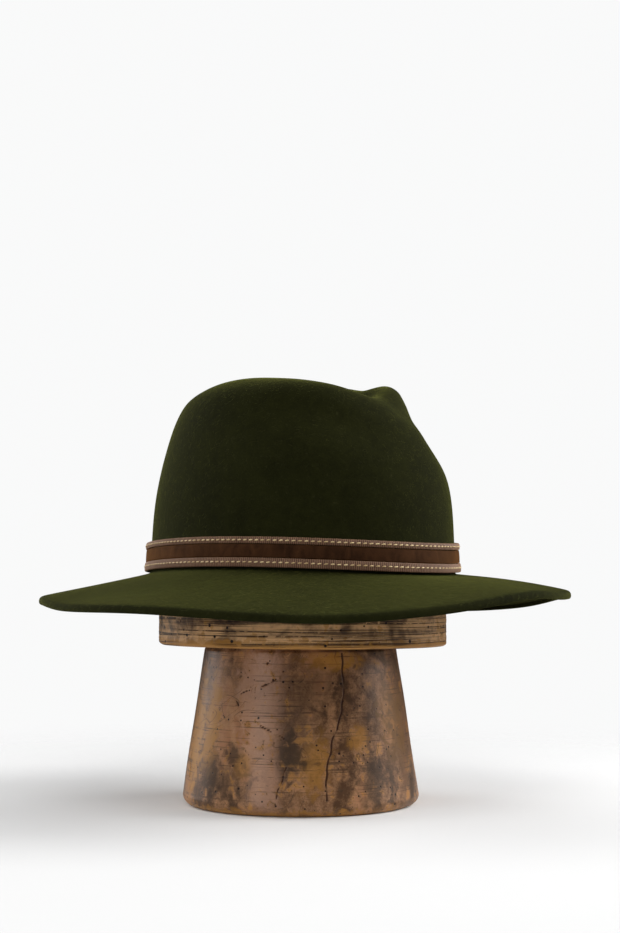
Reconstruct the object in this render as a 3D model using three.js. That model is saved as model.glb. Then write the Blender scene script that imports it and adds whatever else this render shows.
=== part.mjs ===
// A loden felt hat with a three-part leather band, on the plain turned wooden stand that holds it.
// Millimetres, +Z up. The hat's front is -Y and the wearer's left is +X. The origin is the middle of the
// stand's underside. Angles round the hat are degrees from the front towards the wearer's left.
import * as THREE from 'three';

// Felt: crown and brim are one blocked shell.
const FELT = 2.2;
const COLUMNS = 60;
const GAP = 0.3;

// Foot of the crown, where the wall turns out into the brim. Its line arches up at the sides.
const FOOT_LEVEL = 144.4;
const FOOT_ARCH = 1.9;
const FOOT_FILLET = 1.6;
const FOOT_HALF_LENGTH = 101.5;
const FOOT_HALF_WIDTH = 85;

// Level ovals of the open crown, before it is creased: height above the fillet, and how far the oval
// reaches to the front, to the back and to each side.
const CROWN_SECTIONS = [
  { height: 0, front: 101.5, back: 101.5, side: 85 },
  { height: 36, front: 100.4, back: 99.3, side: 83 },
  { height: 59, front: 97.4, back: 95.2, side: 79.6 },
  { height: 76, front: 94, back: 90.5, side: 75.8 },
  { height: 90, front: 89.5, back: 85.8, side: 71.8 },
  { height: 100, front: 84.5, back: 80.9, side: 67.8 },
  { height: 107, front: 78, back: 75.3, side: 63.5 },
  { height: 113, front: 69, back: 66, side: 56 },
  { height: 117.5, front: 57, back: 55.5, side: 47 },
  { height: 119.8, front: 44, back: 44, side: 37 },
  { height: 120.9, front: 30, back: 31, side: 26 },
  { height: 121.4, front: 15, back: 15, side: 13 },
  { height: 121.5, front: 0, back: 0, side: 0 },
];
const ROWS_PER_SECTION = 2;

// The lengthwise crease, from back to front: how far the ridges on the wearer's right and left fall below
// the open crown, how deep the crease lies between them, and half its width.
const CREASE = [
  { forward: -90, right: 0, left: 0, depth: 0, halfWidth: 22 },
  { forward: -65, right: 0, left: 0, depth: 3, halfWidth: 25 },
  { forward: -35, right: 1, left: 1, depth: 14, halfWidth: 28 },
  { forward: -10, right: 2.3, left: 2, depth: 20, halfWidth: 28 },
  { forward: 10, right: 3.3, left: 3.5, depth: 22, halfWidth: 28 },
  { forward: 25, right: 3.2, left: 4.5, depth: 23, halfWidth: 28 },
  { forward: 38, right: 3, left: 1, depth: 20, halfWidth: 28 },
  { forward: 48, right: 3.6, left: -0.8, depth: 13, halfWidth: 26 },
  { forward: 57, right: 5.4, left: 0.3, depth: 6.5, halfWidth: 24 },
  { forward: 65, right: 8, left: 6.3, depth: 2.5, halfWidth: 22 },
  { forward: 72, right: 11, left: 14, depth: 0.5, halfWidth: 22 },
  { forward: 80, right: 14.5, left: 17, depth: 0, halfWidth: 22 },
  { forward: 92, right: 15, left: 15, depth: 0, halfWidth: 24 },
  { forward: 105, right: 8, left: 8, depth: 0, halfWidth: 24 },
];
const CREASE_FADES_AT = 40;
const RIDGE_BLEND = 14;

// The two pinches at the front: the angle and height of each one's middle, how far it spreads round and
// reaches up and down, and how deep it is. The wearer's right one is the shallower and wider.
const PINCHES = [
  { angle: -50, spread: 30, height: 95, reach: 15, depth: 7 },
  { angle: 41, spread: 21, height: 92, reach: 18, depth: 15 },
];

// The brim round the hat: how far its edge hangs below the foot of the crown, and how far it rises above
// a straight slope half-way out.
const BRIM_WIDTH = 71;
const BRIM_ROWS = 5;
const BRIM_EDGE = [
  { angle: -180, drop: 15.5, camber: 0.5 },
  { angle: -150, drop: 18.3, camber: 0 },
  { angle: -132, drop: 20.3, camber: 0 },
  { angle: -118, drop: 24.2, camber: 0 },
  { angle: -90, drop: 25.5, camber: 0 },
  { angle: -50, drop: 28.7, camber: 0 },
  { angle: -25, drop: 22.2, camber: 0.5 },
  { angle: -3, drop: 13.3, camber: 1.3 },
  { angle: 10, drop: 14.6, camber: 1.4 },
  { angle: 35, drop: 15.2, camber: 1.5 },
  { angle: 60, drop: 24.2, camber: 1.5 },
  { angle: 85, drop: 28.2, camber: 1 },
  { angle: 120, drop: 24.8, camber: 0.5 },
  { angle: 150, drop: 18.5, camber: 0.5 },
  { angle: 180, drop: 15.5, camber: 0.5 },
];
// The hem is turned down and curls under: steps out and down from its upper crease, the last one the
// brim's edge.
const HEM = [
  { out: 0, down: 0 },
  { out: 2, down: 0.9 },
  { out: 3.1, down: 2.9 },
  { out: 2.5, down: 5.4 },
];

// Hat band: a slightly recessed suede strip between two rounded, ribbed trims. Its face leans out towards
// the brim, by so much for each millimetre down.
const CENTRE_HEIGHT = 7.6;
const CENTRE_THICKNESS = 2.1;
const CENTRE_CORNER = 0.3;
const UPPER_TRIM_HEIGHT = 4.1;
const LOWER_TRIM_HEIGHT = 5.5;
const TRIM_THICKNESS = 2.4;
const TRIM_CORNER = 0.7;
const BAND_LEAN = 0.064;

// Stand: an oval slab a little smaller than the head opening, a tapered foot and a hidden post.
const BLOCK_BOTTOM = 99.5;
const BLOCK_TOP = 132;
const BLOCK_CLEARANCE = 3.2;
const BLOCK_EDGE = 1.5;
const BASE_TOP_RADIUS = 60.5;
const BASE_BOTTOM_RADIUS = 74.6;
const BASE_CORNER = 6;
const POST_RADIUS = 20;
const TURNED_SIDES = 44;

const radians = THREE.MathUtils.degToRad;
const blend = THREE.MathUtils.lerp;
const smoothstep = THREE.MathUtils.smoothstep;

// A column's value at a place along a table: a smooth curve through its rows.
function lookUp(rows, key, at, column) {
  const last = rows.length - 1;
  let row = 0;
  while (row < last - 1 && at > rows[row + 1][key]) row += 1;
  const slope = (index) => {
    const before = rows[Math.max(index - 1, 0)];
    const after = rows[Math.min(index + 1, last)];
    return (after[column] - before[column]) / (after[key] - before[key]);
  };
  const [from, to] = [rows[row], rows[row + 1]];
  const span = to[key] - from[key];
  const u = THREE.MathUtils.clamp((at - from[key]) / span, 0, 1);
  const bend = u * (1 - u) * span * ((1 - u) * slope(row) - u * slope(row + 1));
  return blend(from[column], to[column], u * u * (3 - 2 * u)) + bend;
}

// How high the crown's foot lies at an angle.
function footLevel(angle) {
  return FOOT_LEVEL - FOOT_ARCH * Math.cos(2 * radians(angle));
}

// A point of an oval, moved out at right angles to it.
function ovalPoint(angle, halfLength, halfWidth, out, z) {
  const [s, c] = [Math.sin(radians(angle)), Math.cos(radians(angle))];
  const normal = new THREE.Vector2(s / halfWidth, -c / halfLength).normalize();
  return new THREE.Vector3(halfWidth * s + out * normal.x, -halfLength * c + out * normal.y, z);
}

// How far the crown's top is let down at a place: the ridges' fall and the crease between them.
function creaseDrop(forward, sideways) {
  const at = (column) => lookUp(CREASE, 'forward', forward, column);
  const across = sideways / at('halfWidth');
  const fall = blend(at('right'), at('left'), smoothstep(sideways, -RIDGE_BLEND, RIDGE_BLEND));
  return fall + at('depth') * Math.exp(-2 * across * across);
}

// How far the two pinches push the wall in.
function pinchDepth(angle, height) {
  return PINCHES.reduce((sum, pinch) => {
    const turn = (angle - pinch.angle) / pinch.spread;
    const rise = (height - pinch.height) / pinch.reach;
    return sum + pinch.depth * Math.exp(-turn * turn - rise * rise);
  }, 0);
}

// Outer surface of the crown, at a row number of CROWN_SECTIONS, whole or between two rows.
const sectionRows = CROWN_SECTIONS.map((row, number) => ({ ...row, number }));
const tipSection = CROWN_SECTIONS.length - 1;
const openHeight = CROWN_SECTIONS[tipSection].height;
function crownPoint(angle, section) {
  const at = (column) => lookUp(sectionRows, 'number', section, column);
  const [s, c] = [Math.sin(radians(angle)), Math.cos(radians(angle))];
  const height = at('height');
  const forward = c * (c > 0 ? at('front') : at('back'));
  const sideways = s * at('side');
  const pinch = pinchDepth(angle, height);
  const radius = Math.max(Math.hypot(forward, sideways), 4 * pinch, 1);
  const drop = smoothstep(height, CREASE_FADES_AT, openHeight) * creaseDrop(forward, sideways);
  const point = new THREE.Vector3(sideways, -forward, 0).multiplyScalar(1 - pinch / radius);
  return point.setZ(footLevel(angle) + FOOT_FILLET + height - drop);
}

// Width of the brim at an angle, seen from above, up to the upper crease of its hem.
const hemEdge = HEM.at(-1);
function brimRun(angle) {
  const slant = lookUp(BRIM_EDGE, 'angle', angle, 'drop') - hemEdge.down;
  return Math.sqrt((BRIM_WIDTH - hemEdge.out) ** 2 - slant ** 2);
}

// Outer surface of the brim, at a part of its run and a further way out and up.
function brimPoint(angle, part, out, up) {
  const slant = lookUp(BRIM_EDGE, 'angle', angle, 'drop') - hemEdge.down;
  const rise = 4 * part * (1 - part) * lookUp(BRIM_EDGE, 'angle', angle, 'camber');
  const z = footLevel(angle) - slant * part + rise + up;
  return ovalPoint(angle, FOOT_HALF_LENGTH, FOOT_HALF_WIDTH, brimRun(angle) * part + out, z);
}

// One column of the felt's outer surface, from just below the crown's tip down and out to the edge.
function feltColumn(angle) {
  const column = [];
  for (let step = 1; step <= tipSection * ROWS_PER_SECTION; step += 1) {
    column.push(crownPoint(angle, tipSection - step / ROWS_PER_SECTION));
  }
  for (const turn of [30, 60]) {
    const out = FOOT_FILLET * (1 - Math.cos(radians(turn)));
    column.push(brimPoint(angle, 0, out, FOOT_FILLET * (1 - Math.sin(radians(turn)))));
  }
  const start = FOOT_FILLET / brimRun(angle);
  for (let row = 0; row < BRIM_ROWS; row += 1) {
    column.push(brimPoint(angle, blend(start, 1, row / BRIM_ROWS), 0, 0));
  }
  for (const step of HEM) column.push(brimPoint(angle, 1, step.out, -step.down));
  return column;
}

// A mesh from its vertices and faces, four-sided faces cut in two.
function meshFrom(name, vertices, faces, look) {
  const geometry = new THREE.BufferGeometry().setFromPoints(vertices);
  geometry.setIndex(faces.flatMap(([a, b, c, d]) => (d === undefined ? [a, b, c] : [a, b, c, a, c, d])));
  geometry.computeVertexNormals();
  const mesh = new THREE.Mesh(geometry, new THREE.MeshStandardMaterial(look));
  mesh.name = name;
  return mesh;
}

// A closed sheet of felt: the outer surface, the same surface moved in by the wall, and the edge between.
function feltShell(name, look) {
  const columns = [];
  for (let i = 0; i < COLUMNS; i += 1) columns.push(feltColumn(-180 + (360 * i) / COLUMNS));
  const rows = columns[0].length;
  const tip = crownPoint(0, tipSection);
  const at = (i, j) => (j < 0 ? tip : columns[(i + COLUMNS) % COLUMNS][Math.min(j, rows - 1)]);
  const inward = (i, j) => {
    const along = at(i + 1, j).clone().sub(at(i - 1, j));
    const down = at(i, j + 1).clone().sub(at(i, j - 1));
    return along.cross(down).setLength(FELT);
  };
  const outer = [tip];
  const inner = [tip.clone().setZ(tip.z - FELT)];
  for (let j = 0; j < rows; j += 1) {
    for (let i = 0; i < COLUMNS; i += 1) {
      outer.push(at(i, j));
      inner.push(inward(i, j).add(at(i, j)));
    }
  }
  const faces = [];
  const under = outer.length;
  for (let i = 0; i < COLUMNS; i += 1) {
    const next = (i + 1) % COLUMNS;
    faces.push([0, 1 + i, 1 + next], [under, under + 1 + next, under + 1 + i]);
    for (let j = 0; j < rows; j += 1) {
      const [a, b] = [1 + j * COLUMNS + i, 1 + j * COLUMNS + next];
      if (j === rows - 1) faces.push([a, under + a, under + b, b]);
      else faces.push([a, a + COLUMNS, b + COLUMNS, b]);
      if (j > 0) faces.push([under + a, under + a - COLUMNS, under + b - COLUMNS, under + b]);
    }
  }
  return meshFrom(name, [...outer, ...inner], faces, look);
}

// A closed hoop round the crown's foot. Its section is a list of points, out from the wall and up.
function hoop(name, section, look) {
  const vertices = [];
  const faces = [];
  for (let i = 0; i < COLUMNS; i += 1) {
    const angle = -180 + (360 * i) / COLUMNS;
    const [here, there] = [i * section.length, ((i + 1) % COLUMNS) * section.length];
    section.forEach(([out, up], k) => {
      const z = footLevel(angle) + FOOT_FILLET + up;
      vertices.push(ovalPoint(angle, FOOT_HALF_LENGTH, FOOT_HALF_WIDTH, GAP + out, z));
      const after = (k + 1) % section.length;
      faces.push([here + k, there + k, there + after, here + after]);
    });
  }
  return meshFrom(name, vertices, faces, look);
}

const centreBottom = LOWER_TRIM_HEIGHT + GAP;
const upperBottom = centreBottom + CENTRE_HEIGHT + GAP;

// Section of a strip of the band, from its lower edge, with its two outer corners rounded off.
function stripSection(bottom, height, thickness, corner) {
  const top = bottom + height;
  const lean = (up) => BAND_LEAN * (centreBottom + CENTRE_HEIGHT / 2 - up);
  const face = (up, out) => [thickness + out + lean(up), up];
  return [
    [0, bottom],
    face(bottom, -corner),
    face(bottom + corner, 0),
    face(bottom + height / 2, corner / 4),
    face(top - corner, 0),
    face(top, -corner),
    [0, top],
  ];
}

// A turned piece on the stand's axis, from points out from the axis and up.
function turned(name, outline, look) {
  const points = outline.map(([out, up]) => new THREE.Vector2(out, up));
  const geometry = new THREE.LatheGeometry(points, TURNED_SIDES).rotateX(Math.PI / 2);
  const mesh = new THREE.Mesh(geometry, new THREE.MeshStandardMaterial(look));
  mesh.name = name;
  return mesh;
}

const feltLook = { color: 0x27301a, roughness: 0.95, metalness: 0 };
const suedeLook = { color: 0x3e2618, roughness: 0.9, metalness: 0 };
const trimLook = { color: 0x6e5443, roughness: 0.7, metalness: 0 };
const woodLook = { color: 0x6b4526, roughness: 0.6, metalness: 0 };

const felt = feltShell('felt_body', feltLook);

const lowerSection = stripSection(0, LOWER_TRIM_HEIGHT, TRIM_THICKNESS, TRIM_CORNER);
const centreSection = stripSection(centreBottom, CENTRE_HEIGHT, CENTRE_THICKNESS, CENTRE_CORNER);
const upperSection = stripSection(upperBottom, UPPER_TRIM_HEIGHT, TRIM_THICKNESS, TRIM_CORNER);
const lowerTrim = hoop('band_lower_trim', lowerSection, trimLook);
const centre = hoop('band_centre', centreSection, suedeLook);
const upperTrim = hoop('band_upper_trim', upperSection, trimLook);

// The slab follows the head opening, so it is a turned disc stretched to the oval.
const blockHalfLength = FOOT_HALF_LENGTH - FELT - BLOCK_CLEARANCE;
const blockHalfWidth = FOOT_HALF_WIDTH - FELT - BLOCK_CLEARANCE;
const blockRim = 1 - BLOCK_EDGE / blockHalfWidth;
const block = turned('stand_block', [
  [0, BLOCK_BOTTOM],
  [blockRim, BLOCK_BOTTOM],
  [1, BLOCK_BOTTOM + BLOCK_EDGE],
  [1, BLOCK_TOP - BLOCK_EDGE],
  [blockRim, BLOCK_TOP],
  [0, BLOCK_TOP],
], woodLook);
block.geometry.scale(blockHalfWidth, blockHalfLength, 1);

const baseTop = BLOCK_BOTTOM - GAP;
const corner = [0, 30, 60, 90].map((turn) => [
  BASE_BOTTOM_RADIUS - BASE_CORNER * (1 - Math.sin(radians(turn))),
  BASE_CORNER * (1 - Math.cos(radians(turn))),
]);
const base = turned('stand_base', [[0, 0], ...corner, [BASE_TOP_RADIUS, baseTop], [0, baseTop]], woodLook);

// The post ends just under the lowest part of the crease above it, which is at its front.
const postCeiling = footLevel(0) + FOOT_FILLET + openHeight - creaseDrop(POST_RADIUS, 0);
const postBottom = BLOCK_TOP + GAP;
const postTop = postCeiling - FELT - GAP;
const postOutline = [[0, postBottom], [POST_RADIUS, postBottom], [POST_RADIUS, postTop], [0, postTop]];
const post = turned('stand_post', postOutline, woodLook);

const hat = new THREE.Group();
hat.add(felt, lowerTrim, centre, upperTrim);
const stand = new THREE.Group();
stand.add(block, base, post);
const hatOnStand = new THREE.Group();
hatOnStand.add(hat, stand);

export default hatOnStand;
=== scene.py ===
import math

import bmesh
import bpy
from mathutils import Matrix, Vector, noise


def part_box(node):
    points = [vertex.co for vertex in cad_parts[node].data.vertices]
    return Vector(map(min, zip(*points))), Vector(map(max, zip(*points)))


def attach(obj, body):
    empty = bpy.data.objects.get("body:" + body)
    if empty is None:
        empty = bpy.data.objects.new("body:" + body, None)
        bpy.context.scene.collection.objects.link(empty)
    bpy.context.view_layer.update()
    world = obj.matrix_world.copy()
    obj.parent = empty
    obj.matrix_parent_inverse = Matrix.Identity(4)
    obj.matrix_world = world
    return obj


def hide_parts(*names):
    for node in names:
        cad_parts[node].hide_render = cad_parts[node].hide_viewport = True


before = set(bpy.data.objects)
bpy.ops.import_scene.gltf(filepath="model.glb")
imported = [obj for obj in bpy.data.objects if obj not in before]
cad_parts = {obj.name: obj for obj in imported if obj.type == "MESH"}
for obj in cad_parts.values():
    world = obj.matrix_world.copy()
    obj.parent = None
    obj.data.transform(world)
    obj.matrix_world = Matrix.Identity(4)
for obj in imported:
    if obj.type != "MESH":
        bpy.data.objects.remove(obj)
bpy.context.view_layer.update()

# The camera stands level with the foot of the hat, on the wearer's right of the hat's front. The lens is
# moved up a little, so that the upright lines of the stand stay upright.
IMAGE_WIDTH = 620
IMAGE_HEIGHT = 933
VIEW_ANGLE = math.radians(-53)
VIEW_DISTANCE = 1.1
EYE_HEIGHT = 0.14
FOCAL_PIXELS = 1746
AXIS_PIXEL = 300.6
HORIZON_PIXEL = 580

lens = bpy.data.cameras.new("camera")
lens.sensor_fit = "VERTICAL"
lens.sensor_height = lens.sensor_width
lens.lens = lens.sensor_width * FOCAL_PIXELS / IMAGE_HEIGHT
lens.shift_x = (IMAGE_WIDTH / 2 - AXIS_PIXEL) / IMAGE_HEIGHT
lens.shift_y = (HORIZON_PIXEL - IMAGE_HEIGHT / 2) / IMAGE_HEIGHT
camera = bpy.data.objects.new("camera", lens)
towards_camera = Vector((math.sin(VIEW_ANGLE), -math.cos(VIEW_ANGLE), 0))
to_the_right = Vector((math.cos(VIEW_ANGLE), math.sin(VIEW_ANGLE), 0))
camera.location = towards_camera * VIEW_DISTANCE + Vector((0, 0, EYE_HEIGHT))
camera.rotation_euler = (math.pi / 2, 0, VIEW_ANGLE)
bpy.context.scene.collection.objects.link(camera)
bpy.context.scene.camera = camera


# Crown and brim are one piece of loden felt, blocked to shape over a wooden form. It is thick, soft and
# matt, with a short nap of tangled wool hairs that catches the light along every edge.
FLAT_PAIR_ANGLE = 1.2
HEM_ANGLE = math.radians(60)
HEM_SHARPNESS = 0.3
FELT_DARK = (0.0062, 0.0066, 0.0017, 1)
FELT_LIGHT = (0.0185, 0.0196, 0.0048, 1)
FELT_HAIR = (0.05, 0.05, 0.02, 1)


class Wire:
    """A socket in a material's nodes. Sums and products of wires add the Math nodes they stand for."""

    def __init__(self, tree, socket):
        self.tree = tree
        self.socket = socket

    def feed(self, node, sockets):
        """Gives a node's sockets their values, or links them to wires."""
        for key, value in sockets.items():
            if isinstance(value, Wire):
                self.tree.links.new(value.socket, node.inputs[key])
            else:
                node.inputs[key].default_value = value

    def node(self, kind, settings, sockets, output=0):
        """Adds a node, sets it up, feeds it, and gives one of its outputs."""
        made = self.tree.nodes.new("ShaderNode" + kind)
        for key, value in settings.items():
            setattr(made, key, value)
        self.feed(made, sockets)
        return Wire(self.tree, made.outputs[output])

    def math(self, operation, *values):
        return self.node("Math", {"operation": operation}, dict(enumerate(values)))

    def __add__(self, other):
        return self.math("ADD", self, other)

    def __sub__(self, other):
        return self.math("SUBTRACT", self, other)

    def __rsub__(self, other):
        return self.math("SUBTRACT", other, self)

    def __mul__(self, other):
        return self.math("MULTIPLY", self, other)

    def __abs__(self):
        return self.math("ABSOLUTE", self)

    __radd__ = __add__
    __rmul__ = __mul__

    def step(self, low, high):
        """0 where this wire is at low, 1 where it is at high, with a smooth rise between them."""
        sockets = {"Value": self, "From Min": low, "From Max": high}
        return self.node("MapRange", {"interpolation_type": "SMOOTHSTEP"}, sockets)

    def mix(self, first, second):
        """Two colours mixed, with this wire as the share of the second."""
        return self.node("Mix", {"data_type": "RGBA"}, {0: self, 6: first, 7: second}, output=2)

    def grain(self, cells, detail=3, stretch=(1, 1, 1), turn=(0, 0, 0), twist=0):
        """Noise at this place, with so many cells to a metre, longer where the stretch is under 1."""
        place = self.node("Mapping", {}, {"Vector": self, "Rotation": turn, "Scale": stretch})
        sockets = {"Vector": place, "Scale": cells, "Detail": detail, "Distortion": twist}
        return self.node("TexNoise", {}, sockets)

    def bump(self, distance, strength=1):
        """A surface raised by this wire, as high as the distance where it is 1."""
        return self.node("Bump", {}, {"Height": self, "Distance": distance, "Strength": strength})


def new_finish(name, **constants):
    """A material with its shader's constants set, its shader, and the wire of the place on the object."""
    material = bpy.data.materials.new(name)
    material.use_nodes = True
    tree = material.node_tree
    shader = tree.nodes["Principled BSDF"]
    for key, value in constants.items():
        shader.inputs[key.replace("_", " ")].default_value = value
    return material, shader, Wire(tree, tree.nodes.new("ShaderNodeTexCoord").outputs["Object"])


def hair_lines(place, cells, turn, width):
    """Thin curling lines, as tangled hairs make, broken into short lengths."""
    field = place.grain(cells, 1, stretch=(1, 0.45, 0.7), turn=turn, twist=0.4)
    line = abs(field - 0.5).step(width, 0)
    return line * place.grain(cells * 0.7, 0, turn=turn).step(0.52, 0.62)


felt_finish, shader, place = new_finish(
    "loden_felt",
    Sheen_Weight=0.26,
    Sheen_Roughness=0.3,
    Sheen_Tint=(0.62, 0.65, 0.13, 1),
    Specular_IOR_Level=0.04,
)
nap = place.grain(820, 4, twist=0.8)
pile = place.grain(2300, 2)
clouds = place.grain(32, 3)
mats = place.grain(130, 4, twist=1.1)
hairs = (
    hair_lines(place, 330, (0.3, 0.2, 0.5), 0.010)
    + hair_lines(place, 280, (1.3, 0.6, 2.1), 0.009)
    + hair_lines(place, 380, (2.2, 1.1, 0.9), 0.009)
)
tone = clouds * 0.8 + mats * 0.7 + nap * 0.6 + pile * 0.3 - 0.7
colour = tone.mix(FELT_DARK, FELT_LIGHT)
colour = (hairs * 0.22).mix(colour, FELT_HAIR)
place.feed(shader, {
    "Base Color": colour,
    "Roughness": tone.step(-0.2, 1.2) * 0.12 + 0.84,
    "Normal": (mats * 0.8 + nap * 0.6 + pile * 0.2 + hairs * 0.3).bump(0.0004, 0.8),
})

felt_mesh = bmesh.new()
felt_mesh.from_mesh(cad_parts["felt_body"].data)
bmesh.ops.remove_doubles(felt_mesh, verts=felt_mesh.verts, dist=1e-6)
bmesh.ops.join_triangles(
    felt_mesh,
    faces=felt_mesh.faces,
    angle_face_threshold=FLAT_PAIR_ANGLE,
    angle_shape_threshold=FLAT_PAIR_ANGLE,
)
sharpness = felt_mesh.edges.layers.float.new("crease_edge")
for edge in felt_mesh.edges:
    if edge.calc_face_angle(0) > HEM_ANGLE:
        edge[sharpness] = HEM_SHARPNESS
felt_data = bpy.data.meshes.new("felt")
felt_mesh.to_mesh(felt_data)
felt_mesh.free()
felt_data.shade_smooth()
felt_data.materials.append(felt_finish)
felt = bpy.data.objects.new("felt", felt_data)
bpy.context.scene.collection.objects.link(felt)
rounding = felt.modifiers.new("rounding", "SUBSURF")
rounding.levels = rounding.render_levels = 2
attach(felt, "root")
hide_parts("felt_body")


# The hat band: two ribbed ribbons, folded round at their edges, are sewn along a strip of dark suede. It
# goes once round the foot of the crown, whose oval it follows.
CROWN_HALF_LENGTH = 0.1015
CROWN_HALF_WIDTH = 0.085
CROWN_LEVEL = 0.1444
CROWN_ARCH = 0.0019
CROWN_FILLET = 0.0016
BAND_GAP = 0.0003
BAND_LEAN = 0.064
LOWER_HEIGHT = 0.0055
CENTRE_HEIGHT = 0.0076
UPPER_HEIGHT = 0.0041
RIBBON_THICKNESS = 0.0024
RIBBON_EDGE = 0.0007
RIBBON_SWELL = 0.0002
RIBS = 480
COLUMNS_PER_RIB = 4
RIB_DEPTH = 0.00016
RIBBON_DARK = (0.07, 0.032, 0.018, 1)
RIBBON_LIGHT = (0.27, 0.148, 0.086, 1)

# How far round the foot each of many small turns lies, so that ribs and stitches are evenly spaced.
OVAL_TURNS = 1440
oval_lengths = [0.0]
for turn in range(OVAL_TURNS):
    angle = 2 * math.pi * (turn + 0.5) / OVAL_TURNS
    along = math.hypot(CROWN_HALF_WIDTH * math.cos(angle), CROWN_HALF_LENGTH * math.sin(angle))
    oval_lengths.append(oval_lengths[-1] + along * 2 * math.pi / OVAL_TURNS)


def oval_angle(part):
    """The angle from the hat's front at which a part of the way round the foot has been covered."""
    length = (part % 1) * oval_lengths[-1]
    low = 0
    high = OVAL_TURNS
    while high - low > 1:
        middle = (low + high) // 2
        if oval_lengths[middle] > length:
            high = middle
        else:
            low = middle
    extra = (length - oval_lengths[low]) / (oval_lengths[high] - oval_lengths[low])
    return 2 * math.pi * (low + extra) / OVAL_TURNS


def band_point(angle, out, up):
    """A place on the band, out from the foot of the crown and up from the band's lower edge."""
    sine = math.sin(angle)
    cosine = math.cos(angle)
    away = Vector((sine / CROWN_HALF_WIDTH, -cosine / CROWN_HALF_LENGTH, 0)).normalized()
    level = CROWN_LEVEL - CROWN_ARCH * math.cos(2 * angle) + CROWN_FILLET + up
    foot = Vector((CROWN_HALF_WIDTH * sine, -CROWN_HALF_LENGTH * cosine, level))
    return foot + away * (BAND_GAP + out)


def lean(up):
    """How far the band's face leans out at a height, more towards the brim."""
    return BAND_LEAN * (LOWER_HEIGHT + BAND_GAP + CENTRE_HEIGHT / 2 - up)


def strip_outline(bottom, height, thickness, edge, swell):
    """Section of a strip of the band: flat against the felt, with its two outer edges rolled round."""
    bends = [math.radians(degrees) for degrees in (0, 22.5, 45, 67.5, 90)]
    inner = thickness - edge
    low = bottom + edge
    high = bottom + height - edge
    face = [(inner + edge * math.sin(bend), low - edge * math.cos(bend)) for bend in bends]
    face.append((thickness + swell, bottom + height * 0.4))
    face.append((thickness + swell, bottom + height * 0.6))
    face += [(inner + edge * math.cos(bend), high + edge * math.sin(bend)) for bend in bends]
    return [(0, bottom)] + [(out + lean(up), up) for out, up in face] + [(0, bottom + height)]


SPUN_ARCS = 24
SEAM_REACH = 1e-5


def spun(outline, columns):
    """A mesh spun round the upright axis from its outline: one short arc, repeated all the way round."""
    mesh = bmesh.new()
    verts = [mesh.verts.new((0, -out, up)) for out, up in outline]
    edges = [mesh.edges.new(pair) for pair in zip(verts, verts[1:])]
    turn = {"cent": (0, 0, 0), "axis": (0, 0, 1)}
    step = 2 * math.pi / SPUN_ARCS
    bmesh.ops.spin(mesh, geom=verts + edges, angle=step, steps=columns // SPUN_ARCS, **turn)
    arc = mesh.verts[:] + mesh.edges[:] + mesh.faces[:]
    more = SPUN_ARCS - 1
    bmesh.ops.spin(mesh, geom=arc, angle=step * more, steps=more, use_duplicate=True, **turn)
    bmesh.ops.remove_doubles(mesh, verts=mesh.verts, dist=SEAM_REACH)
    bmesh.ops.recalc_face_normals(mesh, faces=mesh.faces)
    return mesh


def new_piece(name, mesh, finish):
    """An object made from a finished mesh, smooth and in its material."""
    data = bpy.data.meshes.new(name)
    mesh.to_mesh(data)
    mesh.free()
    data.shade_smooth()
    data.materials.append(finish)
    piece = bpy.data.objects.new(name, data)
    bpy.context.scene.collection.objects.link(piece)
    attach(piece, "root")
    return piece


def hoop(name, outline, columns, ripple, finish):
    """A closed hoop: its outline is spun round, laid along the oval, and raised by a ripple."""
    mesh = spun([(1 + out, up) for out, up in outline + outline[:1]], columns)
    raised = mesh.verts.layers.float.new("raised")
    for vert in mesh.verts:
        part = math.atan2(vert.co.x, -vert.co.y) / (2 * math.pi)
        out = math.hypot(vert.co.x, vert.co.y) - 1
        vert[raised] = ripple(part, out)
        vert.co = band_point(oval_angle(part), out + vert[raised], vert.co.z)
    return new_piece(name, mesh, finish)


def ribbed(part, out):
    """Ribs across a ribbon, on its outer face alone."""
    if out < RIBBON_THICKNESS / 2:
        return 0
    return RIB_DEPTH * math.cos(2 * math.pi * RIBS * part)


ribbon_finish, shader, place = new_finish(
    "ribbed_ribbon",
    Sheen_Weight=0.36,
    Sheen_Roughness=0.4,
    Sheen_Tint=(0.95, 0.6, 0.35, 1),
    Specular_IOR_Level=0.25,
)
# Painted light: the tops of the ribs are painted paler and the grooves between them darker, a painted
# highlight and painted shade that follow the ribs' height.
threads = place.grain(1500, 2, stretch=(1, 1, 0.35))
wear = place.grain(120, 3)
painted_rib_shade_and_highlight = place.node("Attribute", {"attribute_name": "raised"}, {}, output="Fac")
tone = threads * 0.55 + wear * 0.6 + painted_rib_shade_and_highlight * (0.5 / RIB_DEPTH) - 0.2
place.feed(shader, {
    "Base Color": tone.mix(RIBBON_DARK, RIBBON_LIGHT),
    "Roughness": threads * 0.2 + 0.5,
    "Normal": threads.bump(0.00018, 0.6),
})
upper_bottom = LOWER_HEIGHT + CENTRE_HEIGHT + 2 * BAND_GAP
ribbons = {
    "lower_trim": {"bottom": 0, "height": LOWER_HEIGHT},
    "upper_trim": {"bottom": upper_bottom, "height": UPPER_HEIGHT},
}
for name, row in ribbons.items():
    outline = strip_outline(
        row["bottom"], row["height"], RIBBON_THICKNESS, RIBBON_EDGE, RIBBON_SWELL
    )
    ribbon = hoop(name, outline, RIBS * COLUMNS_PER_RIB, ribbed, ribbon_finish)
    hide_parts("band_" + name)


# The strip of suede between the ribbons: thin split hide, brushed to a soft dark brown nap, which lies a
# little deeper than they do.
SUEDE_THICKNESS = 0.0021
SUEDE_EDGE = 0.0004
SUEDE_SWELL = 0.0001
SUEDE_COLUMNS = 720
PUCKER_DEPTH = 0.0001
SUEDE_DARK = (0.014, 0.0057, 0.0026, 1)
SUEDE_LIGHT = (0.066, 0.0265, 0.0105, 1)

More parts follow.
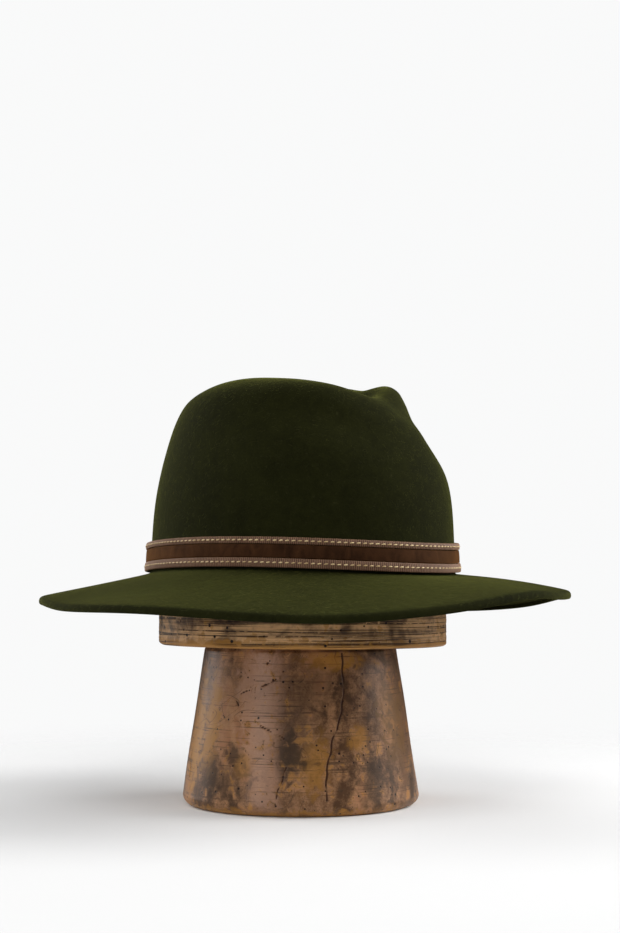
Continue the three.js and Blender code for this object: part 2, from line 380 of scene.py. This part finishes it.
suede_finish, shader, place = new_finish(
    "brown_suede",
    Sheen_Weight=0.35,
    Sheen_Roughness=0.42,
    Sheen_Tint=(0.9, 0.37, 0.08, 1),
    Specular_IOR_Level=0.06,
)
brushed = place.grain(150, 4, stretch=(1, 1, 0.6), twist=0.9)
nap = place.grain(1900, 3)
tone = brushed * 1.5 + nap * 0.5 - 0.5
place.feed(shader, {
    "Base Color": tone.mix(SUEDE_DARK, SUEDE_LIGHT),
    "Roughness": nap * 0.15 + 0.8,
    "Normal": (nap * 0.6 + brushed).bump(0.00025, 0.6),
})
centre_outline = strip_outline(
    LOWER_HEIGHT + BAND_GAP, CENTRE_HEIGHT, SUEDE_THICKNESS, SUEDE_EDGE, SUEDE_SWELL
)


def puckered(part, out):
    """The strip's face rises and falls a little between the ribbons' stitches."""
    if out < SUEDE_THICKNESS / 2:
        return 0
    return PUCKER_DEPTH * noise.noise((part * 90, out * 400, 0))


suede = hoop("suede_strip", centre_outline, SUEDE_COLUMNS, puckered, suede_finish)
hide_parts("band_centre")


# One row of stitches along the middle of each ribbon, in thick waxed thread of a pale straw colour. Each
# stitch lies at a slight slant and dips into the ribbon at both its ends.
STITCH_PITCH = 0.0037
STITCH_LENGTH = 0.0027
STITCH_THICKNESS = 0.00095
STITCH_SLANT = math.radians(-9)
STITCH_RISE = 0.16
THREAD_DARK = (0.4, 0.25, 0.1, 1)
THREAD_LIGHT = (0.85, 0.66, 0.36, 1)

thread_finish, shader, place = new_finish("waxed_thread", Roughness=0.5, Specular_IOR_Level=0.4)
twist = place.grain(2600, 1)
shade = place.grain(140, 2).step(0.35, 0.65)
place.feed(shader, {
    "Base Color": (shade * 0.6 + twist * 0.5).mix(THREAD_DARK, THREAD_LIGHT),
    "Normal": twist.bump(0.0001, 0.5),
})
rows = {
    "lower_stitches": LOWER_HEIGHT * 0.52,
    "upper_stitches": upper_bottom + UPPER_HEIGHT * 0.5,
}
for name, up in rows.items():
    mesh = bmesh.new()
    count = round(oval_lengths[-1] / STITCH_PITCH)
    for number in range(count):
        angle = oval_angle((number + 0.5) / count)
        out = RIBBON_THICKNESS + lean(up) + STITCH_THICKNESS * STITCH_RISE
        here = band_point(angle, out, up)
        ahead = band_point(angle + 0.001, out, up)
        along = (ahead - here).normalized()
        away = along.cross(Vector((0, 0, 1))).normalized()
        rise = away.cross(along)
        basis = Matrix((along, away, rise)).transposed().to_4x4()
        slant = Matrix.Rotation(STITCH_SLANT, 4, "Y")
        size = Matrix.Diagonal((STITCH_LENGTH, STITCH_THICKNESS, STITCH_THICKNESS, 1))
        placed = Matrix.Translation(here) @ basis @ slant @ size
        bmesh.ops.create_uvsphere(mesh, u_segments=8, v_segments=6, radius=0.5, matrix=placed)
    new_piece(name, mesh, thread_finish)


# The stand's slab: an old oval board that fills the head opening. Its edge shows the thin layers of the
# grain, worm holes, and bare yellow wood where the lower corner has worn.
SLAB_LOW, SLAB_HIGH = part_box("stand_block")
SLAB_ROWS = 52
SLAB_COLUMNS = 528
SLAB_RIM = 0.9
SLAB_MIDDLE = 0.6
WORN_CORNER = 0.0026
BARE_UP_TO = 0.0095
BARE_FADES_AT = 0.0125
LAYER_RELIEF = 0.00025
SLAB_TAN = (0.68, 0.395, 0.185, 1)
WOOD_BROWN = (0.075, 0.037, 0.018, 1)
WOOD_TAN = (0.36, 0.186, 0.092, 1)
WOOD_OCHRE = (0.38, 0.175, 0.035, 1)
WOOD_GREY = (0.042, 0.026, 0.016, 1)
WOOD_HOLE = (0.02, 0.011, 0.007, 1)


def turned(name, outline, columns, shape, finish):
    """A turned solid. Its shape moves each point, and says how deep in a crack the point lies."""
    mesh = spun(outline, columns)
    cracked = mesh.verts.layers.float.new("crack")
    for vert in mesh.verts:
        vert.co, vert[cracked] = shape(vert.co)
    return new_piece(name, mesh, finish)


def worm_holes(place, cells, share, size):
    """Small round holes, one in some of the cells."""
    sockets = {"Vector": place, "Scale": cells, "Randomness": 1}
    near = place.node("TexVoronoi", {}, sockets)
    pick = place.node("TexVoronoi", {}, sockets, output=1)
    chosen = place.node("SeparateColor", {}, {0: pick}).step(1 - share, 1.02 - share)
    return near.step(size, size * 0.7) * chosen


slab_finish, shader, place = new_finish("laminated_wood", Specular_IOR_Level=0.2)
layers = place.grain(1, 3, stretch=(10, 10, 950))
broad = place.grain(1, 3, stretch=(16, 16, 240))
blotch = place.grain(60, 5, twist=0.6)
ragged = place.grain(240, 4, twist=0.5)
holes = worm_holes(place, 190, 0.35, 0.22)
height = place.node("SeparateXYZ", {}, {0: place}, output=2)
lines = layers.step(0.49, 0.4) * ragged.step(0.32, 0.48)
over_edge = height + blotch * 0.007 + ragged * 0.007 - SLAB_LOW.z
worn = over_edge.step(BARE_FADES_AT, BARE_UP_TO)
chips = (blotch + ragged * 0.5).step(0.83, 0.9)
colour = (broad * 0.7 + blotch * 0.6 + ragged * 0.4).step(0.6, 0.95).mix(WOOD_BROWN, SLAB_TAN)
colour = (blotch.step(0.5, 0.34) * 0.5).mix(colour, WOOD_GREY)
colour = place.math("MAXIMUM", worn * 0.85, chips * 0.6).mix(colour, WOOD_OCHRE)
colour = (lines * 0.85).mix(colour, WOOD_HOLE)
colour = holes.mix(colour, WOOD_HOLE)
place.feed(shader, {
    "Base Color": colour,
    "Roughness": blotch * 0.3 + 0.4,
    "Normal": (layers * 0.6 - lines * 0.5 - holes + ragged * 0.2).bump(0.0005, 0.9),
})

slab_outline = [(0, SLAB_LOW.z), (SLAB_MIDDLE, SLAB_LOW.z)]
for row in range(SLAB_ROWS + 1):
    slab_outline.append((1, SLAB_LOW.z + (SLAB_HIGH.z - SLAB_LOW.z) * row / SLAB_ROWS))
slab_outline.append((SLAB_MIDDLE, SLAB_HIGH.z))
slab_outline.append((0, SLAB_HIGH.z))


def slab_shape(point):
    """The worn board: its corners are rounded and its layers stand out by different amounts."""
    angle = math.atan2(point.x, -point.y)
    edge = min(point.z - SLAB_LOW.z, SLAB_HIGH.z - point.z)
    inset = 0
    if point.xy.length > SLAB_RIM:
        spot = (math.sin(angle) * 3, math.cos(angle) * 3, point.z * 40)
        wear = WORN_CORNER * (0.6 + 0.5 * noise.noise(spot))
        layer = (math.sin(angle) * 1.4, math.cos(angle) * 1.4, point.z * 900)
        inset = wear * max(0, 1 - edge / wear) ** 2 + LAYER_RELIEF * (1 - noise.noise(layer))
    size = Vector((SLAB_HIGH.x - inset, SLAB_HIGH.y - inset))
    return Vector((point.x * size.x, point.y * size.y, point.z)), 0


slab = turned("slab", slab_outline, SLAB_COLUMNS, slab_shape, slab_finish)
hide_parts("stand_block")


# The stand's foot: a tapered block of old hardwood, turned on a lathe, waxed, and marked by years of use.
# It has a long drying crack down its front, finer cracks, worm holes, and dark and bare yellow patches.
FOOT_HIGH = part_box("stand_base")[1]
FOOT_BOTTOM_RADIUS = FOOT_HIGH.x
FOOT_TOP_RADIUS = 0.0605
FOOT_CORNER = 0.006
CORNER_STEPS = 6
FOOT_MIDDLE = 0.03
FOOT_RIM = 0.05
FOOT_ROWS = 116
FOOT_COLUMNS = 768
UNEVEN_DEPTH = 0.0006
CRACK_DEPTH = 0.0009
CRACK_WANDER = 0.0012
CRACK_REACH = 0.004
CHIPPED_HEIGHT = 0.0022
CHIP_DEPTH = 0.0013
RIM_BARE_UP_TO = 0.0108
RIM_FADES_AT = 0.0145
# Painted shade under the slab: how far below the foot's top it is painted at full darkness, and where it
# fades out.
SLAB_SHADE_DARK_FROM = 0.0065
SLAB_SHADE_FADES_AT = 0.0085
MILLIMETRES = 1000
WANDER_SHIFTS = [(0, 0, 0), (9.3, 2.8, 5.1), (4.6, 13.9, 7.7)]
WOOD_RED = (0.24, 0.1, 0.05, 1)
WOOD_CRACK = (0.04, 0.016, 0.009, 1)
WOOD_PALE_AND_HIGHLIGHT = (0.5, 0.28, 0.18, 1)
# Each crack is a line of places, given as angle from the hat's front and height. Its width and the
# heights are in millimetres.
CRACKS = [
    {
        "width": 0.85,
        "line": [(-28, 96), (-29, 79), (-31, 61), (-36, 47), (-39, 35), (-41, 19), (-41, 10)],
    },
    {"width": 0.55, "line": [(-60, 29), (-63, 18), (-65, 7)]},
    {"width": 0.6, "line": [(-88, 65), (-91, 70), (-84, 73), (-70, 78), (-66, 81)]},
    {"width": 0.55, "line": [(-72, 91), (-67, 88), (-62, 85)]},
    {"width": 0.55, "line": [(-76, 54), (-69, 51), (-61, 46)]},
    {"width": 0.6, "line": [(-127, 32), (-125, 18)]},
    {"width": 0.7, "line": [(70, 99), (72, 74), (69, 48), (73, 30)]},
    {"width": 0.5, "line": [(150, 60), (152, 34), (149, 6)]},
    {"width": 0.6, "line": [(112, 88), (121, 80), (128, 79)]},
]
# Stained, bare and pale patches; the pale one at -74 degrees is partly the wood's paler colour and partly
# a painted highlight: angle, height, half width and half height in millimetres.
PATCHES = [
    {"colour": "grey", "angle": -57, "height": 36, "across": 7, "up": 16, "strength": 0.85},
    {"colour": "grey", "angle": -93, "height": 20, "across": 15, "up": 11, "strength": 0.6},
    {"colour": "grey", "angle": -89, "height": 35, "across": 6, "up": 6, "strength": 0.8},
    {"colour": "grey", "angle": -16, "height": 18, "across": 10, "up": 17, "strength": 0.6},
    {"colour": "grey", "angle": -48, "height": 79, "across": 14, "up": 13, "strength": 0.4},
    {"colour": "grey", "angle": -54, "height": 62, "across": 9, "up": 44, "strength": 0.45},
    {"colour": "grey", "angle": 16, "height": 48, "across": 20, "up": 64, "strength": 0.6},
    {"colour": "grey", "angle": -140, "height": 66, "across": 12, "up": 50, "strength": 0.35},
    {"colour": "grey", "angle": 80, "height": 40, "across": 14, "up": 18, "strength": 0.6},
    {"colour": "grey", "angle": 160, "height": 62, "across": 12, "up": 20, "strength": 0.55},
    # Partly paler wood, partly a painted highlight where the wax reflects a lamp.
    {"colour": "pale_and_highlight", "angle": -74, "height": 66, "across": 13, "up": 34, "strength": 0.6},
    {"colour": "pale_and_highlight", "angle": -70, "height": 22, "across": 9, "up": 22, "strength": 0.5},
    {"colour": "pale_and_highlight", "angle": 100, "height": 50, "across": 12, "up": 40, "strength": 0.5},
    {"colour": "pale_and_highlight", "angle": -150, "height": 60, "across": 12, "up": 30, "strength": 0.5},
    {"colour": "ochre", "angle": -107, "height": 54, "across": 8, "up": 24, "strength": 0.75},
    {"colour": "ochre", "angle": -124, "height": 44, "across": 12, "up": 34, "strength": 0.9},
    {"colour": "ochre", "angle": -34, "height": 92, "across": 15, "up": 5, "strength": 0.85},
    {"colour": "ochre", "angle": -47, "height": 31, "across": 9, "up": 15, "strength": 0.6},
    {"colour": "ochre", "angle": 6, "height": 58, "across": 12, "up": 22, "strength": 0.6},
    {"colour": "ochre", "angle": -22, "height": 45, "across": 6, "up": 7, "strength": 0.6},
    {"colour": "ochre", "angle": -83, "height": 29, "across": 5, "up": 7, "strength": 0.6},
    {"colour": "ochre", "angle": 45, "height": 30, "across": 14, "up": 15, "strength": 0.6},
    {"colour": "ochre", "angle": 118, "height": 60, "across": 12, "up": 26, "strength": 0.65},
    {"colour": "ochre", "angle": -165, "height": 30, "across": 16, "up": 14, "strength": 0.6},
]


def foot_radius(height):
    """The foot's radius at a height above its lower corner."""
    share = (height - FOOT_CORNER) / (FOOT_HIGH.z - FOOT_CORNER)
    return FOOT_BOTTOM_RADIUS + (FOOT_TOP_RADIUS - FOOT_BOTTOM_RADIUS) * max(share, 0)


def foot_place(angle, height):
    """The place on the foot at an angle in degrees from the hat's front and a height in millimetres."""
    turn = math.radians(angle)
    up = height / MILLIMETRES
    out = foot_radius(up)
    return Vector((out * math.sin(turn), -out * math.cos(turn), up))


foot_finish, shader, place = new_finish(
    "old_waxed_wood", Specular_IOR_Level=0.12, Coat_Weight=0.07, Coat_Roughness=0.25
)
streaks = place.grain(1, 3, stretch=(40, 40, 10), twist=0.5)
turning = place.grain(1, 2, stretch=(14, 14, 950))
mottle = place.grain(75, 6, twist=1.1)
ragged = place.grain(230, 5, twist=0.6)
fine = place.grain(1000, 3)
height = place.node("SeparateXYZ", {}, {0: place}, output=2)
patch_masks = {"grey": 0, "ochre": 0, "pale_and_highlight": 0}
for patch in PATCHES:
    middle = foot_place(patch["angle"], patch["height"])
    size = (
        MILLIMETRES / patch["across"],
        MILLIMETRES / patch["across"],
        MILLIMETRES / patch["up"],
    )
    start = [-middle[axis] * size[axis] for axis in range(3)]
    nearby = place.node("Mapping", {}, {"Vector": place, "Location": start, "Scale": size})
    distance = place.node("VectorMath", {"operation": "LENGTH"}, {0: nearby}, output="Value")
    edge = distance + mottle * 2.4 + ragged * 2.2 - 2.3
    patch_mask = edge.step(1.6, 0.5) * patch["strength"]
    patch_masks[patch["colour"]] = place.math("MAXIMUM", patch_mask, patch_masks[patch["colour"]])
rim = (height + ragged * 0.012 + mottle * 0.008).step(RIM_FADES_AT, RIM_BARE_UP_TO)
# Painted shade: the foot is darkened just under its top, where the slab sits on it and shades it.
under_top = FOOT_HIGH.z - (height - ragged * 0.010 - mottle * 0.006)
painted_shade_under_slab = under_top.step(SLAB_SHADE_FADES_AT, SLAB_SHADE_DARK_FROM)
flakes = (mottle * 0.7 + ragged * 0.5).step(0.68, 0.74)
specks = ragged.step(0.6, 0.68) * fine.step(0.44, 0.55)
holes = worm_holes(place, 130, 0.5, 0.11) + worm_holes(place, 230, 0.45, 0.16)
cracks = place.node("Attribute", {"attribute_name": "crack"}, {}, output="Fac").step(0.1, 0.45)
scratches = place.math(
    "MAXIMUM",
    turning.step(0.44, 0.34) * mottle.step(0.4, 0.58),
    hair_lines(place, 55, (0.4, 0.9, 0.2), 0.006) + hair_lines(place, 75, (1.1, 0.3, 1.7), 0.006),
)
tone = streaks * 0.9 + mottle * 0.7 + ragged * 0.35 + fine * 0.25 - 0.6
colour = tone.step(0.3, 0.7).mix(WOOD_BROWN, WOOD_TAN)
colour = (streaks.step(0.52, 0.62) * mottle.step(0.45, 0.6) * 0.5).mix(colour, WOOD_RED)
# Pale patches of paler wood; the one at -74 degrees is partly a painted highlight.
colour = patch_masks["pale_and_highlight"].mix(colour, WOOD_PALE_AND_HIGHLIGHT)
bare = place.math("MAXIMUM", patch_masks["ochre"], rim * 0.8)
colour = place.math("MAXIMUM", bare, flakes * 0.55).mix(colour, WOOD_OCHRE)
# Grey stains, and the painted shade under the slab.
colour = place.math("MAXIMUM", patch_masks["grey"], painted_shade_under_slab * 0.75).mix(colour, WOOD_GREY)
colour = place.math("MAXIMUM", scratches * 0.65, specks * 0.7).mix(colour, WOOD_GREY)
colour = (cracks * 0.9).mix(holes.mix(colour, WOOD_HOLE), WOOD_CRACK)
place.feed(shader, {
    "Base Color": colour,
    "Roughness": ragged * 0.3 + cracks * 0.4 + 0.28,
    "Normal": (turning * 0.3 + fine * 0.12 + ragged * 0.35 - holes - cracks).bump(0.0004, 0.7),
})

foot_outline = [(0, 0), (FOOT_MIDDLE, 0)]
for step in range(CORNER_STEPS + 1):
    bend = math.radians(90 * step / CORNER_STEPS)
    foot_outline.append((
        FOOT_BOTTOM_RADIUS - FOOT_CORNER * (1 - math.sin(bend)),
        FOOT_CORNER * (1 - math.cos(bend)),
    ))
for row in range(1, FOOT_ROWS + 1):
    up = FOOT_CORNER + (FOOT_HIGH.z - FOOT_CORNER) * row / FOOT_ROWS
    foot_outline.append((foot_radius(up), up))
foot_outline.append((FOOT_MIDDLE, FOOT_HIGH.z))
foot_outline.append((0, FOOT_HIGH.z))

crack_runs = []
for crack in CRACKS:
    places = [foot_place(*spot) for spot in crack["line"]]
    for start, end in zip(places, places[1:]):
        crack_runs.append((crack["width"] / MILLIMETRES, start, end - start))


def crack_depth(point):
    """How deep into a crack a place lies, from 0 beside it to 1 at its bottom."""
    depth = 0
    for width, start, run in crack_runs:
        offset = point - start
        along = offset.z if run.z > 0 else -offset.z
        if not -CRACK_REACH < along < abs(run.z) + CRACK_REACH:
            continue
        share = min(max(offset.dot(run) / run.length_squared, 0), 1)
        depth = max(depth, 1 - (offset - run * share).length / width)
    return depth


def wander(place):
    """A smooth push sideways and up that changes from place to place, the same on every run."""
    return Vector([noise.noise(place + Vector(shift)) for shift in WANDER_SHIFTS])


def foot_shape(point):
    """The old turned block: slightly uneven, chipped along its upper rim, and cracked."""
    out = point.xy.length
    if out < FOOT_RIM:
        return point, 0
    crack = crack_depth(point + wander(point * 150) * CRACK_WANDER)
    inset = UNEVEN_DEPTH * (1 - noise.noise(point * 22)) + CRACK_DEPTH * crack
    if point.z > FOOT_HIGH.z - CHIPPED_HEIGHT:
        inset += CHIP_DEPTH * (0.6 + noise.noise(point * 90))
    rest = 1 - inset / out
    return Vector((point.x * rest, point.y * rest, point.z)), crack


foot = turned("foot", foot_outline, FOOT_COLUMNS, foot_shape, foot_finish)
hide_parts("stand_base")


# The post stands on the slab, hidden inside the crown, and carries the hat from there. It is plain turned
# wood, and has the slab's finish.
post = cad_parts["stand_post"]
post.data.materials.clear()
post.data.materials.append(slab_finish)


# A pale studio: a floor that fades into the backdrop, and large soft lights. The strongest stands high on
# the right. One in front fills the crown, and weaker ones on both sides draw out the edges.
BACKDROP = (0.95, 0.953, 0.953, 1)
FLOOR = (0.86, 0.86, 0.86, 1)
FLOOR_DROP = 0.0002
FLOOR_RADIUS = 0.65
FLOOR_FADE = 0.1
AIM_HEIGHT = 0.16
AMBIENT = 0.02
# Each light: angle from the camera's side, distance from the hat, height over its middle, size, power.
LIGHTS = [
    {"name": "front", "angle": 0, "distance": 1.0, "height": 0.8, "size": 0.8, "power": 8.4},
    {"name": "back", "angle": 180, "distance": 0.9, "height": 1.1, "size": 0.8, "power": 2},
    {"name": "right", "angle": 100, "distance": 1.3, "height": 0.25, "size": 0.8, "power": 3.5},
    {"name": "high_right", "angle": 95, "distance": 1.1, "height": 0.55, "size": 0.8, "power": 17},
    {"name": "left", "angle": -120, "distance": 1.3, "height": 0.25, "size": 0.8, "power": 6},
    {"name": "high_left", "angle": -105, "distance": 1.1, "height": 0.55, "size": 0.8, "power": 6},
    {"name": "left_front", "angle": -42, "distance": 1.3, "height": 0.1, "size": 0.35, "power": 3.2},
]

floor_mesh = bmesh.new()
bmesh.ops.create_circle(floor_mesh, cap_ends=True, segments=96, radius=FLOOR_RADIUS)
bmesh.ops.translate(floor_mesh, verts=floor_mesh.verts, vec=(0, 0, -FLOOR_DROP))
floor_data = bpy.data.meshes.new("floor")
floor_mesh.to_mesh(floor_data)
floor_mesh.free()
floor_finish, shader, place = new_finish("pale_floor", Base_Color=FLOOR, Roughness=0.9)
reach = place.node("VectorMath", {"operation": "LENGTH"}, {0: place}, output="Value")
place.feed(shader, {"Alpha": reach.step(FLOOR_RADIUS, FLOOR_FADE)})
floor_data.materials.append(floor_finish)
floor = bpy.data.objects.new("floor", floor_data)
bpy.context.scene.collection.objects.link(floor)

for row in LIGHTS:
    lamp = bpy.data.lights.new(row["name"], "AREA")
    lamp.size = row["size"]
    lamp.energy = row["power"]
    light = bpy.data.objects.new(row["name"], lamp)
    turn = math.radians(row["angle"])
    away = towards_camera * math.cos(turn) + to_the_right * math.sin(turn)
    light.location = away * row["distance"] + Vector((0, 0, AIM_HEIGHT + row["height"]))
    aim = Vector((0, 0, AIM_HEIGHT)) - light.location
    light.rotation_euler = aim.to_track_quat("-Z", "Y").to_euler()
    bpy.context.scene.collection.objects.link(light)

world = bpy.data.worlds.new("studio")
world.use_nodes = True
backdrop = world.node_tree.nodes["Background"]
seen = Wire(world.node_tree, world.node_tree.nodes.new("ShaderNodeLightPath").outputs["Is Camera Ray"])
seen.feed(backdrop, {"Color": BACKDROP, "Strength": seen * (1 - AMBIENT) + AMBIENT})
bpy.context.scene.world = world
bpy.context.scene.view_settings.view_transform = "Standard"
